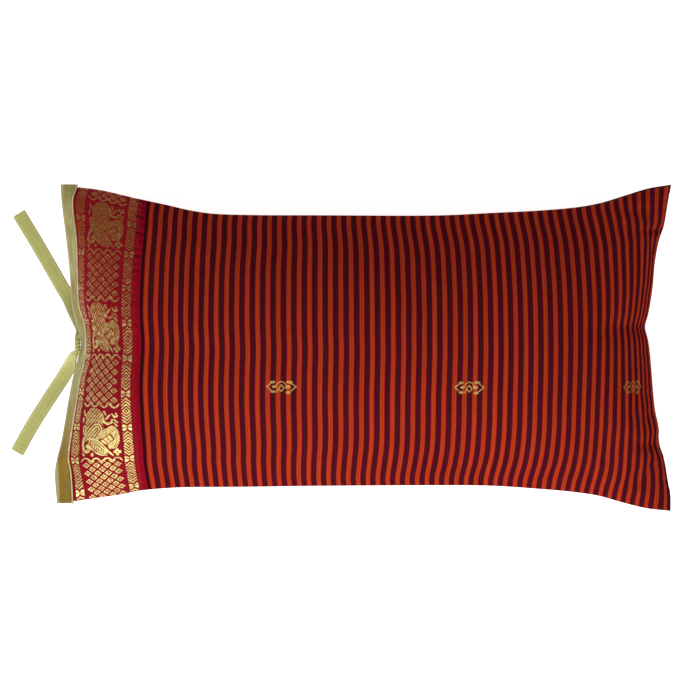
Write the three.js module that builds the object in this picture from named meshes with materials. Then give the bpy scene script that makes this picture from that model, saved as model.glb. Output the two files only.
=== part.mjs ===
// Lumbar pillow in sari cloth, lying on its back, with an open end on the left that two ribbons tie.
// X runs along the pillow, Y across it and Z up from the surface it lies on; all sizes in millimetres.
// The origin is on that surface, under the middle of the pillow.
import * as THREE from 'three';
import { mergeVertices } from 'three/addons/utils/BufferGeometryUtils.js';

// Driving sizes of the filled cover
const crownRise = 70; // from the seams up to the top of the crown
const backRise = 68; // the same below the seams, before the surface flattens it
const cornerHeight = 42; // of the corner seams above the surface
const sideLift = 10; // the seams lie this much higher halfway along
const lipDrop = 2; // and the open end this much lower in its middle
const restSoftness = 4; // half height of the round run into the flat underside
const rightRound = 48; // length over which the sewn end rises
const lipRound = 9; // length of the steep first rise at the open end
const lipShare = 0.35; // share of the crown in that first rise
const leftRound = 95; // length of the long rise behind it
const crossRound = 1.2; // radius of the crown's arc over half the width
const puffReach = 14; // length over which the puffed open end runs into the crown
const seamRound = 3; // length over which that end rises from the side seams
const puckerLimit = 0.6; // a pucker takes at most this share of the rise

// Driving sizes of the open end
const openLength = 296; // from one corner seam to the other
const facingThick = 1.3;
const knotGap = 0.45; // between the two strands of the knot
const tongueGap = 1.0; // under the facings, which are uneven
const pipingRadius = 0.8;
const pipingGap = 0.6; // on both sides of the piping
const lipHalf = 2.0; // half height of the closed lips
const tongueInset = 6; // the filled end stops this far inside the lips
const tongueHalf = 0.25; // and is at least this thick on either side of its middle
const facingOverhang = { top: 2.4, bottom: 1.4 }; // past the corner seams
const lipFold = 0.5; // the facing is rounded over this much at its lip

// How the piping turns from the front to the back at a corner: past the seam, and above the middle
const pipingTurn = [
  { out: 1.6, up: 1.75 },
  { out: 2.2, up: 0.7 },
  { out: 2.2, up: -0.7 },
  { out: 1.6, up: -1.75 },
];

// Ribbons
const ribbonWidth = 13.2;
const ribbonThick = 1.0;
const strand = 2.4; // across the flats of a ribbon squeezed into the knot
const knot = { x: -280, y: 2.5, z: 41, half: 6, turns: 1.5 };
const stepsPerTurn = 14;

// Fineness of the meshes
const alongSteps = 46;
const acrossSteps = 44;

// Long sides: height of the two seams in Y, from the open end (0) to the sewn end (1)
const longSides = [
  { at: 0.0, top: 151.3, bottom: -144.3 },
  { at: 0.04, top: 148.1, bottom: -140.7 },
  { at: 0.08, top: 142.9, bottom: -137.4 },
  { at: 0.11, top: 139.0, bottom: -133.9 },
  { at: 0.15, top: 134.1, bottom: -131.6 },
  { at: 0.19, top: 128.9, bottom: -130.4 },
  { at: 0.23, top: 125.6, bottom: -130.2 },
  { at: 0.3, top: 124.3, bottom: -129.8 },
  { at: 0.4, top: 124.0, bottom: -128.9 },
  { at: 0.6, top: 123.8, bottom: -128.3 },
  { at: 0.7, top: 126.4, bottom: -128.9 },
  { at: 0.78, top: 128.8, bottom: -132.0 },
  { at: 0.84, top: 131.9, bottom: -135.2 },
  { at: 0.88, top: 136.0, bottom: -138.8 },
  { at: 0.92, top: 142.8, bottom: -145.2 },
  { at: 0.96, top: 149.7, bottom: -150.6 },
  { at: 1.0, top: 153.6, bottom: -153.2 },
];

// Sewn end, from the bottom corner (0) to the top corner (1), with two puckers near 0.21 and 0.56
const sewnEnd = [
  { at: 0.0, edge: 278.8 },
  { at: 0.05, edge: 278.4 },
  { at: 0.1, edge: 275.8 },
  { at: 0.16, edge: 272.2 },
  { at: 0.21, edge: 266.8 },
  { at: 0.25, edge: 267.0 },
  { at: 0.32, edge: 262.6 },
  { at: 0.48, edge: 258.1 },
  { at: 0.53, edge: 256.0 },
  { at: 0.563, edge: 253.1 },
  { at: 0.6, edge: 256.4 },
  { at: 0.68, edge: 260.7 },
  { at: 0.76, edge: 263.2 },
  { at: 0.83, edge: 267.5 },
  { at: 0.87, edge: 272.0 },
  { at: 0.94, edge: 276.1 },
  { at: 1.0, edge: 279.3 },
];

// Open end, from bottom to top: where the sari cloth stops, how far the facing reaches past it,
// and half the height between the front and the back there
const openEnd = [
  { at: 0.0, edge: -281.6, reach: 16.0, rise: 2.2 },
  { at: 0.05, edge: -282.1, reach: 17.0, rise: 2.8 },
  { at: 0.1, edge: -283.1, reach: 16.4, rise: 5.6 },
  { at: 0.14, edge: -284.6, reach: 13.0, rise: 10.5 },
  { at: 0.2, edge: -282.6, reach: 10.7, rise: 13.4 },
  { at: 0.32, edge: -277.0, reach: 10.3, rise: 14.2 },
  { at: 0.39, edge: -273.8, reach: 9.6, rise: 14.6 },
  { at: 0.44, edge: -270.0, reach: 9.6, rise: 15.0 },
  { at: 0.5, edge: -268.1, reach: 7.2, rise: 15.5 },
  { at: 0.57, edge: -270.0, reach: 10.2, rise: 15.0 },
  { at: 0.62, edge: -274.6, reach: 9.2, rise: 14.8 },
  { at: 0.73, edge: -276.1, reach: 10.0, rise: 14.4 },
  { at: 0.83, edge: -277.1, reach: 12.0, rise: 13.2 },
  { at: 0.95, edge: -280.8, reach: 12.6, rise: 11.0 },
  { at: 1.0, edge: -277.8, reach: 16.4, rise: 2.4 },
];

// Puckers in the front where the sewn end folds in: start, direction in degrees, length, width, depth
const puckers = [
  { x: 254, y: 19, turn: 176, length: 26, width: 5, depth: 5 },
  { x: 268, y: -88, turn: 184, length: 30, width: 6, depth: 5 },
  { x: -222, y: -133, turn: 62, length: 34, width: 9, depth: 3 },
  { x: -163, y: 127, turn: -98, length: 26, width: 9, depth: 2.5 },
];

const lerp = THREE.MathUtils.lerp;

// Smooth value of one column of a table, by Hermite curves with the neighbours' mean slope.
function column(rows, name, at) {
  const last = rows.length - 2;
  const found = rows.findIndex((row) => row.at > at);
  const i = found < 0 ? last : Math.max(0, found - 1);
  const chord = (a, b) => (rows[b][name] - rows[a][name]) / (rows[b].at - rows[a].at);
  const step = rows[i + 1].at - rows[i].at;
  const startSlope = chord(Math.max(0, i - 1), i + 1) * step;
  const endSlope = chord(i, Math.min(rows.length - 1, i + 2)) * step;
  const t = THREE.MathUtils.clamp((at - rows[i].at) / step, 0, 1);
  const t2 = t * t;
  const t3 = t2 * t;
  const ends = (2 * t3 - 3 * t2 + 1) * rows[i][name] + (3 * t2 - 2 * t3) * rows[i + 1][name];
  return ends + (t3 - 2 * t2 + t) * startSlope + (t3 - t2) * endSlope;
}

// Where a point of the cover lies in plan, from fractions along it and across it.
function plan(along, across) {
  const left = column(openEnd, 'edge', across);
  const right = column(sewnEnd, 'edge', across);
  const low = column(longSides, 'bottom', along);
  const high = column(longSides, 'top', along);
  return { x: lerp(left, right, along), y: lerp(low, high, across), left, right };
}

// Height of the middle surface, in which all the seams lie.
function seamHeight(along, across) {
  const middle = Math.sin(Math.PI * across);
  const lift = sideLift * Math.sin(Math.PI * along) + sideLift * middle * along ** 3;
  return cornerHeight + lift - lipDrop * middle * (1 - along);
}

// Share of the full crown at a place: an arc across, two quick rises along.
function crownShare(across, fromLip, fromEnd) {
  const c = 2 * across - 1;
  const base = Math.sqrt(crossRound ** 2 - 1);
  const arc = (Math.sqrt(crossRound ** 2 - c * c) - base) / (crossRound - base);
  const firstRise = lipShare * Math.exp(-fromLip / lipRound);
  const longRise = (1 - lipShare) * Math.exp(-fromLip / leftRound);
  return arc * (1 - firstRise - longRise) * (1 - Math.exp(-fromEnd / rightRound));
}

// Depth of the puckers at a place in plan.
function puckerDepth(x, y) {
  let depth = 0;
  for (const fold of puckers) {
    const turn = THREE.MathUtils.degToRad(fold.turn);
    const dx = x - fold.x;
    const dy = y - fold.y;
    const run = dx * Math.cos(turn) + dy * Math.sin(turn);
    const aside = dy * Math.cos(turn) - dx * Math.sin(turn);
    const fade = run > 0 ? Math.exp(-((run / fold.length) ** 2)) : Math.exp(-((run / fold.width) ** 2));
    depth += fold.depth * fade * Math.exp(-((aside / fold.width) ** 2));
  }
  return depth;
}

// Flattens what would lie below the surface, with a round run into the flat.
function rest(z) {
  if (z >= restSoftness) return z;
  if (z <= -restSoftness) return 0;
  return (z + restSoftness) ** 2 / (4 * restSoftness);
}

// A point of the front (side 1) or the back (side -1) of the filled cover.
function skinPoint(along, across, side) {
  const { x, y, left, right } = plan(along, across);
  const reach = column(openEnd, 'reach', across);
  const full = side > 0 ? crownRise : backRise;
  const fromSeam = Math.min(across, 1 - across) * openLength;
  const edgeRise = column(openEnd, 'rise', across) * (1 - Math.exp(-fromSeam / seamRound));
  const edgeCrown = full * crownShare(across, reach, right - left);
  const puff = (edgeRise - edgeCrown) * Math.exp(-(x - left) / puffReach);
  let rise = full * crownShare(across, x - left + reach, right - x) + puff;
  if (side > 0) rise -= Math.min(rise * puckerLimit, puckerDepth(x, y));
  const z = seamHeight(along, across) + side * rise;
  return new THREE.Vector3(x, y, side > 0 ? z : rest(z));
}

// A point of the open end: so far from the sari cloth towards the lips, so deep under the face.
function openPoint(across, towardsLip, depth, side) {
  const inside = THREE.MathUtils.clamp(across, 0, 1);
  const { x, y } = plan(0, inside);
  const reach = column(openEnd, 'reach', inside);
  const fall = column(openEnd, 'rise', inside) - lipHalf;
  const width = Math.hypot(reach, fall);
  const level = column(openEnd, 'rise', inside) - (fall * towardsLip + reach * depth) / width;
  return new THREE.Vector3(
    x - (reach * towardsLip - fall * depth) / width,
    y + (across - inside) * openLength,
    seamHeight(0, inside) + side * level,
  );
}

// Width of the facing from the sari cloth to the lips, measured over its slope.
function facingWidth(across) {
  const inside = THREE.MathUtils.clamp(across, 0, 1);
  return Math.hypot(column(openEnd, 'reach', inside), column(openEnd, 'rise', inside) - lipHalf);
}

// Closed solid over a row of rings; each end is closed by a strip, or the last ring meets the first.
function loft(rings, closed = false) {
  const count = rings[0].length;
  const corners = [];
  const face = (a, b, c) => {
    const flat = a.distanceTo(b) < 1e-3 || b.distanceTo(c) < 1e-3 || c.distanceTo(a) < 1e-3;
    if (!flat) corners.push(...a.toArray(), ...b.toArray(), ...c.toArray());
  };
  const spans = closed ? rings.length : rings.length - 1;
  for (let r = 0; r < spans; r++) {
    const here = rings[r];
    const next = rings[(r + 1) % rings.length];
    for (let i = 0; i < count; i++) {
      const j = (i + 1) % count;
      face(here[i], here[j], next[j]);
      face(here[i], next[j], next[i]);
    }
  }
  if (!closed) {
    for (const [ring, flip] of [[rings[0], false], [rings[rings.length - 1], true]]) {
      for (let i = 0; i < count / 2; i++) {
        const quad = [ring[i], ring[i + 1], ring[count - i - 1], ring[(count - i) % count]];
        if (!flip) quad.reverse();
        face(quad[0], quad[1], quad[2]);
        face(quad[0], quad[2], quad[3]);
      }
    }
  }
  const geometry = new THREE.BufferGeometry();
  geometry.setAttribute('position', new THREE.Float32BufferAttribute(corners, 3));
  return facingOut(mergeVertices(geometry, 1e-3));
}

// Turns every triangle over if the solid came out inside out.
function facingOut(geometry) {
  const places = geometry.attributes.position;
  const point = (i) => new THREE.Vector3().fromBufferAttribute(places, geometry.index.getX(i));
  let volume = 0;
  for (let i = 0; i < geometry.index.count; i += 3) {
    volume += point(i).dot(point(i + 1).cross(point(i + 2)));
  }
  if (volume < 0) geometry.setIndex(Array.from(geometry.index.array).reverse());
  geometry.computeVertexNormals();
  return geometry;
}

// Fractions from 0 to 1 that lie closer together at both ends.
function fractions(steps, crowding) {
  const even = Array.from({ length: steps + 1 }, (unused, i) => i / steps);
  return even.map((t) => t - crowding * Math.sin(2 * Math.PI * t));
}

const acrossFractions = fractions(acrossSteps, 0.05);

// The filled cover, with a tongue at the open end on which the facings and the piping lie.
function pillowBody() {
  const ring = (front, back) => {
    const top = acrossFractions.map(front);
    const bottom = acrossFractions.map(back);
    return [...top, ...bottom.slice(1, -1).reverse()];
  };
  const tonguePoint = (inset, side) => (across) => {
    const along = inset === null ? 0 : facingWidth(across) - inset;
    const atCorner = across <= 0 || across >= 1;
    const depth = atCorner ? 0 : facingThick + tongueGap;
    const point = openPoint(across, along, depth, side);
    const middle = seamHeight(0, across);
    const half = Math.max(side * (point.z - middle), tongueHalf);
    point.z = atCorner ? middle : middle + side * half;
    return point;
  };
  const rings = [tongueInset, null].map((inset) => ring(tonguePoint(inset, 1), tonguePoint(inset, -1)));
  for (const along of fractions(alongSteps, 0.11)) {
    rings.push(ring((across) => skinPoint(along, across, 1), (across) => skinPoint(along, across, -1)));
  }
  return loft(rings);
}

// One facing strip, from the piping to the rounded lip, front (1) or back (-1).
function facing(side) {
  const start = 2 * pipingGap + 2 * pipingRadius;
  const lowest = -facingOverhang.bottom / openLength;
  const highest = 1 + facingOverhang.top / openLength;
  const stations = [lowest, ...acrossFractions, highest];
  if (side < 0) stations.reverse(); // so that the back's faces fold the same way as the cover's
  const rings = stations.map((across) => {
    const width = facingWidth(across);
    const at = (towardsLip, depth) => openPoint(across, towardsLip, depth, side);
    return [
      at(start, 0),
      at((start + width) / 2, 0),
      at(width - lipFold, 0),
      at(width, facingThick / 2),
      at(width - lipFold, facingThick),
      at(start, facingThick),
    ];
  });
  return loft(rings);
}

// Thin piping round the whole open end, between the sari cloth and the facings.
function piping() {
  const sides = 8;
  const centreAlong = pipingGap + pipingRadius;
  const centreDepth = facingThick - pipingRadius;
  const on = (across, side) => openPoint(across, centreAlong, centreDepth, side);
  const turnAt = (across, outwards) => {
    const point = on(across, 1);
    const middle = seamHeight(0, across);
    return pipingTurn.map(({ out, up }) => new THREE.Vector3(point.x, point.y + outwards * out, middle + up));
  };
  const front = acrossFractions.map((across) => on(across, 1));
  const back = acrossFractions.map((across) => on(across, -1)).reverse();
  const path = [...front, ...turnAt(1, 1), ...back, ...turnAt(0, -1).reverse()];
  const rings = path.map((point, i) => {
    const before = path[(i + path.length - 1) % path.length];
    const after = path[(i + 1) % path.length];
    const tangent = after.clone().sub(before).normalize();
    const outer = new THREE.Vector3(-1, 0, 0).addScaledVector(tangent, tangent.x).normalize();
    const other = new THREE.Vector3().crossVectors(tangent, outer);
    return Array.from({ length: sides }, (unused, k) => {
      const turn = (2 * Math.PI * k) / sides;
      const arm = outer.clone().multiplyScalar(Math.cos(turn)).addScaledVector(other, Math.sin(turn));
      return point.clone().addScaledVector(arm, pipingRadius);
    });
  });
  return loft(rings, true);
}

// One strand of the half knot: it goes round the knot's axis, which lies along Y.
function knotStrand(fromTop) {
  const steps = stepsPerTurn * knot.turns;
  const radius = (strand / Math.cos(Math.PI / 8) + knotGap) / 2;
  const rows = [];
  for (let i = 0; i <= steps; i++) {
    const share = i / steps;
    const turn = (fromTop ? 1 : -1) * 2 * Math.PI * knot.turns * share;
    rows.push({
      x: knot.x + radius * Math.cos(turn),
      y: knot.y + (fromTop ? 1 : -1) * knot.half * (1 - 2 * share),
      z: knot.z + radius * Math.sin(turn),
      width: strand,
      thick: strand,
    });
  }
  return rows;
}

// Eight-sided section of a ribbon, from round to flat.
function ribbonSection(width, thick) {
  const corner = Math.SQRT2 - 1;
  const flat = 1 - ((1 - corner) * thick) / width;
  const shape = [
    [1, corner], [flat, 1], [-flat, 1], [-1, corner],
    [-1, -corner], [-flat, -1], [flat, -1], [1, -corner],
  ];
  return shape.map(([a, b]) => [(a * width) / 2, (b * thick) / 2]);
}

// A ribbon swept along rows of places and sizes; it starts and ends with its width level.
function ribbon(rows) {
  const places = rows.map((row) => new THREE.Vector3(row.x, row.y, row.z));
  const up = new THREE.Vector3(0, 0, 1);
  const tangents = places.map((place, i) => {
    const before = places[Math.max(0, i - 1)];
    const after = places[Math.min(places.length - 1, i + 1)];
    return after.clone().sub(before).normalize();
  });
  const level = (i) => new THREE.Vector3().crossVectors(up, tangents[i]).normalize();
  const carried = [level(0)];
  for (let i = 1; i < places.length; i++) {
    const swing = new THREE.Quaternion().setFromUnitVectors(tangents[i - 1], tangents[i]);
    carried.push(carried[i - 1].clone().applyQuaternion(swing));
  }
  const last = places.length - 1;
  const sine = new THREE.Vector3().crossVectors(carried[last], level(last)).dot(tangents[last]);
  let missing = Math.atan2(sine, carried[last].dot(level(last)));
  if (missing > Math.PI / 2) missing -= Math.PI;
  if (missing < -Math.PI / 2) missing += Math.PI;
  const inKnot = rows.map((row) => (row.width === row.thick ? 1 : 0));
  const total = inKnot.reduce((sum, one) => sum + one, 0);
  let passed = 0;
  const rings = places.map((place, i) => {
    passed += inKnot[i];
    const across = carried[i].clone().applyAxisAngle(tangents[i], (missing * passed) / total);
    const over = new THREE.Vector3().crossVectors(tangents[i], across);
    return ribbonSection(rows[i].width, rows[i].thick).map(([a, b]) =>
      place.clone().addScaledVector(across, a).addScaledVector(over, b));
  });
  return loft(rings);
}

// Upper ribbon: sewn inside the lips below the knot, it leaves the knot towards the top.
function upperTie() {
  const flat = { width: ribbonWidth, thick: ribbonThick };
  return ribbon([
    { x: -273.6, y: -5.8, z: 40, width: 5, thick: 2.0 },
    { x: -276.4, y: -5.8, z: 40, width: 4.4, thick: 2.0 },
    { x: -278.1, y: -5.0, z: 40.3, width: 3.4, thick: 2.3 },
    ...knotStrand(false),
    { x: -282.0, y: 11.6, z: 40.6, width: 4.6, thick: 2.0 },
    { x: -282.8, y: 16.0, z: 36.5, width: 7.2, thick: 1.5 },
    { x: -283.6, y: 23.0, z: 27.5, width: 10.5, thick: 1.1 },
    { x: -285.8, y: 32.0, z: 16.5, width: 12.8, thick: 1.0 },
    { x: -289.2, y: 40.5, z: 8.2, ...flat },
    { x: -293.6, y: 48.5, z: 3.2, ...flat },
    { x: -299.8, y: 58.2, z: 1.0, ...flat },
    { x: -309.5, y: 75.3, z: 0.5, ...flat },
    { x: -326.4, y: 104.2, z: 0.5, ...flat },
    { x: -341.9, y: 129.9, z: 0.5, ...flat },
  ]);
}

// Lower ribbon: sewn inside the lips above the knot, it leaves the knot towards the bottom.
function lowerTie() {
  const flat = { width: ribbonWidth, thick: ribbonThick };
  return ribbon([
    { x: -273.2, y: 10.8, z: 40, width: 5, thick: 2.0 },
    { x: -276.0, y: 10.8, z: 40, width: 4.4, thick: 2.0 },
    { x: -278.1, y: 10.0, z: 40.3, width: 3.4, thick: 2.3 },
    ...knotStrand(true),
    { x: -282.4, y: -6.4, z: 39.4, width: 4.6, thick: 2.0 },
    { x: -284.4, y: -9.8, z: 33.0, width: 8.0, thick: 1.4 },
    { x: -287.4, y: -14.0, z: 22.0, width: 11.0, thick: 1.1 },
    { x: -291.6, y: -18.8, z: 11.5, width: 12.8, thick: 1.0 },
    { x: -296.0, y: -24.2, z: 4.6, ...flat },
    { x: -300.6, y: -30.8, z: 1.4, ...flat },
    { x: -307.5, y: -41.0, z: 0.5, ...flat },
    { x: -314.8, y: -52.1, z: 0.5, ...flat },
    { x: -329.3, y: -75.2, z: 0.5, ...flat },
    { x: -343.5, y: -100.7, z: 0.5, ...flat },
  ]);
}

const sariCloth = { color: 0x8a2418, roughness: 0.62, metalness: 0 };
const facingCloth = { color: 0x8f8140, roughness: 0.5, metalness: 0 };
const pipingCloth = { color: 0xb9b98a, roughness: 0.6, metalness: 0 };
const ribbonCloth = { color: 0xaaab64, roughness: 0.45, metalness: 0 };

// Names a solid and gives it its own finish.
function piece(name, geometry, finish) {
  const mesh = new THREE.Mesh(geometry, new THREE.MeshStandardMaterial(finish));
  mesh.name = name;
  return mesh;
}

const lumbarPillow = new THREE.Group();
lumbarPillow.name = 'lumbar_pillow';
lumbarPillow.add(
  piece('pillow_body', pillowBody(), sariCloth),
  piece('facing_front', facing(1), facingCloth),
  piece('facing_back', facing(-1), facingCloth),
  piece('piping', piping(), pipingCloth),
  piece('tie_upper', upperTie(), ribbonCloth),
  piece('tie_lower', lowerTie(), ribbonCloth),
);

export default lumbarPillow;
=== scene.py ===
# Lumbar pillow: striped sari cloth with a woven gold border, an open end closed by two tied ribbons.
# Metres throughout; the cloth's own pattern is laid out in millimetres of cloth.
import math

import bpy
import numpy as np
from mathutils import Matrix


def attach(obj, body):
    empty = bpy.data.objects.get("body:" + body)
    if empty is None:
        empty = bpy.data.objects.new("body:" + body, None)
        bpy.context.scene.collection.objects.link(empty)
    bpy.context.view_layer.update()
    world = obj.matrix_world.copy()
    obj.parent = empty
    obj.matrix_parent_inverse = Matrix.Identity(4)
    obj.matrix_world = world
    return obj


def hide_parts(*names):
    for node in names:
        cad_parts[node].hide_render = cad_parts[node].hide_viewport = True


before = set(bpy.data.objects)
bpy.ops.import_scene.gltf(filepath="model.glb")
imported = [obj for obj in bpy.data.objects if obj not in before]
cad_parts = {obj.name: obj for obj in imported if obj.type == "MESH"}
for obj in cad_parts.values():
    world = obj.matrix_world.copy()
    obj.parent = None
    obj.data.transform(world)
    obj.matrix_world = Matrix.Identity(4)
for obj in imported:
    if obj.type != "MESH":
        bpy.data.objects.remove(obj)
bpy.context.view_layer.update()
print("frame loaded")


# shared shape of the cover
cover = {
    "crownRise": .070, "backRise": .068, "cornerHeight": .042, "sideLift": .010, "lipDrop": .002,
    "restSoftness": .004, "rightRound": .048, "lipRound": .009, "lipShare": .35, "leftRound": .095,
    "crossRound": 1.2, "puffReach": .014, "seamRound": .003, "puckerLimit": .6, "openLength": .296,
    "facingThick": .0013, "tongueGap": .001, "tongueInset": .006, "tongueHalf": .00025, "lipHalf": .002,
}

# edges of the cover: share along, top and bottom seam
longSides = [
    (0, .1513, -.1443), (.04, .1481, -.1407), (.08, .1429, -.1374), (.11, .1390, -.1339), (.15, .1341, -.1316),
    (.19, .1289, -.1304), (.23, .1256, -.1302), (.3, .1243, -.1298), (.4, .1240, -.1289), (.6, .1238, -.1283),
    (.7, .1264, -.1289), (.78, .1288, -.1320), (.84, .1319, -.1352), (.88, .1360, -.1388), (.92, .1428, -.1452),
    (.96, .1497, -.1506), (1, .1536, -.1532)]

# share across, sewn end
sewnEnd = [
    (0, .2788), (.05, .2784), (.1, .2758), (.16, .2722), (.21, .2668), (.25, .2670), (.32, .2626), (.48, .2581),
    (.53, .2560), (.563, .2531), (.6, .2564), (.68, .2607), (.76, .2632), (.83, .2675), (.87, .2720),
    (.94, .2761), (1, .2793)]

# share across, end of the sari cloth, reach of the facing, half the opening's height
openEnd = [
    (0, -.2816, .0160, .0022), (.05, -.2821, .0170, .0028), (.1, -.2831, .0164, .0056), (.14, -.2846, .0130, .0105),
    (.2, -.2826, .0107, .0134), (.32, -.2770, .0103, .0142), (.39, -.2738, .0096, .0146), (.44, -.2700, .0096, .0150),
    (.5, -.2681, .0072, .0155), (.57, -.2700, .0102, .0150), (.62, -.2746, .0092, .0148), (.73, -.2761, .0100, .0144),
    (.83, -.2771, .0120, .0132), (.95, -.2808, .0126, .0110), (1, -.2778, .0164, .0024)]

# the same two ends without their small waves, which the cloth's grain follows further in
openSmooth = [(0, -.2816), (.15, -.2822), (.35, -.2775), (.5, -.2750), (.65, -.2762), (.85, -.2785), (1, -.2778)]
sewnSmooth = [(0, .2792), (.1, .2757), (.2, .2712), (.35, .2630), (.5, .2590), (.65, .2606), (.8, .2660), (.9, .2735),
              (1, .2793)]

# folds in the front: place, direction in degrees, length, width, depth
puckers = [
    (.254, .019, 176, .026, .005, .005), (.268, -.088, 184, .030, .006, .005),
    (-.222, -.133, 62, .034, .009, .003), (-.163, .127, -98, .026, .009, .0025)]


# more folds that only the cloth shows
visualCreases = [(.268, .111, 186, .024, .004, .0022), (.0954, -.126, 70, .012, .005, .0012)]


def column(rows, name, at):
    # smooth value of one column of a table, by Hermite curves with the neighbours' mean slope
    places = np.array([row[0] for row in rows], float)
    values = np.array([row[name] for row in rows], float)
    at = np.asarray(at, float)
    i = np.clip(np.searchsorted(places, at, side="right") - 1, 0, len(rows) - 2)
    before, after = np.maximum(i - 1, 0), np.minimum(i + 2, len(rows) - 1)
    step = places[i + 1] - places[i]
    startSlope = (values[i + 1] - values[before]) / (places[i + 1] - places[before]) * step
    endSlope = (values[after] - values[i]) / (places[after] - places[i]) * step
    t = np.clip((at - places[i]) / step, 0, 1)
    ends = (2 * t**3 - 3 * t**2 + 1) * values[i] + (3 * t**2 - 2 * t**3) * values[i + 1]
    return ends + (t**3 - 2 * t**2 + t) * startSlope + (t**3 - t**2) * endSlope


def plan(along, across, smooth=False):
    left = column(openSmooth if smooth else openEnd, 1, across)
    right = column(sewnSmooth if smooth else sewnEnd, 1, across)
    low, high = column(longSides, 2, along), column(longSides, 1, along)
    return left + (right - left) * along, low + (high - low) * across, left, right


def seamHeight(along, across):
    middle = np.sin(math.pi * across)
    lift = cover["sideLift"] * (np.sin(math.pi * along) + middle * along**3)
    return cover["cornerHeight"] + lift - cover["lipDrop"] * middle * (1 - along)


def crownShare(across, fromLip, fromEnd):
    turn = 2 * across - 1
    base = math.sqrt(cover["crossRound"] ** 2 - 1)
    arc = (np.sqrt(cover["crossRound"] ** 2 - turn**2) - base) / (cover["crossRound"] - base)
    firstRise = cover["lipShare"] * np.exp(-fromLip / cover["lipRound"])
    longRise = (1 - cover["lipShare"]) * np.exp(-fromLip / cover["leftRound"])
    return arc * (1 - firstRise - longRise) * (1 - np.exp(-fromEnd / cover["rightRound"]))


def foldDepth(folds, x, y):
    depth = 0
    for startX, startY, turn, length, width, deep in folds:
        turn = math.radians(turn)
        run = (x - startX) * math.cos(turn) + (y - startY) * math.sin(turn)
        aside = (y - startY) * math.cos(turn) - (x - startX) * math.sin(turn)
        fade = np.where(run > 0, np.exp(-((run / length) ** 2)), np.exp(-((run / width) ** 2)))
        depth = depth + deep * fade * np.exp(-((aside / width) ** 2))
    return depth


def rest(z):
    soft = cover["restSoftness"]
    return np.where(z >= soft, z, np.where(z <= -soft, 0, (z + soft) ** 2 / (4 * soft)))


def skinPoint(along, across, side, smooth=False):
    x, y, left, right = plan(along, across, smooth)
    reach = column(openEnd, 2, across)
    full = cover["crownRise"] if side > 0 else cover["backRise"]
    fromSeam = np.minimum(across, 1 - across) * cover["openLength"]
    edgeRise = column(openEnd, 3, across) * (1 - np.exp(-fromSeam / cover["seamRound"]))
    edgeCrown = full * crownShare(across, reach, right - left)
    puff = (edgeRise - edgeCrown) * np.exp(-(x - left) / cover["puffReach"])
    rise = full * crownShare(across, x - left + reach, right - x) + puff
    if side > 0 and not smooth:
        rise = rise - np.minimum(rise * cover["puckerLimit"], foldDepth(puckers, x, y))
    z = seamHeight(along, across) + side * rise
    return np.stack([x, y, z if side > 0 else rest(z)], -1)


def openPoint(across, towardsLip, depth, side):
    inside = np.clip(across, 0, 1)
    x, y, left, right = plan(np.zeros_like(inside), inside)
    reach, rise = column(openEnd, 2, inside), column(openEnd, 3, inside)
    fall = rise - cover["lipHalf"]
    width = np.hypot(reach, fall)
    level = rise - (fall * towardsLip + reach * depth) / width
    return np.stack([
        x - (reach * towardsLip - fall * depth) / width,
        y + (across - inside) * cover["openLength"],
        seamHeight(0, inside) + side * level], -1)


def facingWidth(across):
    inside = np.clip(across, 0, 1)
    return np.hypot(column(openEnd, 2, inside), column(openEnd, 3, inside) - cover["lipHalf"])


def crowded(shares, crowding):
    return shares - crowding * np.sin(2 * math.pi * shares)


# mesh helpers
def onlySelect(*pieces):
    bpy.ops.object.select_all(action="DESELECT")
    for piece in pieces:
        piece.select_set(True)
    bpy.context.view_layer.objects.active = pieces[0]


def clothPanel(name, columns, rows, place, cloth):
    # a flat grid, each point then moved by place(column, row) and given its cloth coordinates
    bpy.ops.object.select_all(action="DESELECT")
    bpy.ops.mesh.primitive_grid_add(x_subdivisions=columns, y_subdivisions=rows, size=1, calc_uvs=False)
    piece = bpy.context.object
    piece.name = piece.data.name = name
    mesh = piece.data
    flat = np.empty(len(mesh.vertices) * 3)
    mesh.vertices.foreach_get("co", flat)
    flat = flat.reshape(-1, 3)
    col = np.rint((flat[:, 0] + .5) * columns).astype(int)
    row = np.rint((flat[:, 1] + .5) * rows).astype(int)
    mesh.vertices.foreach_set("co", place[col, row].ravel())
    corners = np.empty(len(mesh.loops), int)
    mesh.loops.foreach_get("vertex_index", corners)
    layer = mesh.uv_layers.new(name="cloth")
    layer.data.foreach_set("uv", cloth[col[corners], row[corners]].ravel())
    mesh.update()
    return piece


def mergePoints(piece, distance):
    onlySelect(piece)
    bpy.ops.object.mode_set(mode="EDIT")
    bpy.ops.mesh.select_all(action="SELECT")
    bpy.ops.mesh.remove_doubles(threshold=distance)
    bpy.ops.object.mode_set(mode="OBJECT")


def closeEnds(piece):
    onlySelect(piece)
    bpy.ops.object.mode_set(mode="EDIT")
    bpy.ops.mesh.select_all(action="SELECT")
    bpy.ops.mesh.fill_holes(sides=0)
    bpy.ops.mesh.select_all(action="SELECT")
    bpy.ops.mesh.normals_make_consistent(inside=False)
    bpy.ops.object.mode_set(mode="OBJECT")


def addModifier(piece, kind, **settings):
    made = piece.modifiers.new(kind.lower(), kind)
    for name, value in settings.items():
        setattr(made, name, value)
    onlySelect(piece)
    bpy.ops.object.modifier_apply(modifier=made.name)


# pillow
pillowSize = {
    "alongCells": 142, "acrossCells": 76, "alongCrowding": .11, "acrossCrowding": .05, "tongueCells": 3,
    "clothLength": .572, "clothWidth": .296, "leftFollow": .025, "rightFollow": .009,
    "simFrames": 20, "pressure": 4, "simCap": .0025, "spare": .006, "gatherDepth": .0003, "gatherReach": .009,
    "stripCrease": .0016,
}

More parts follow.
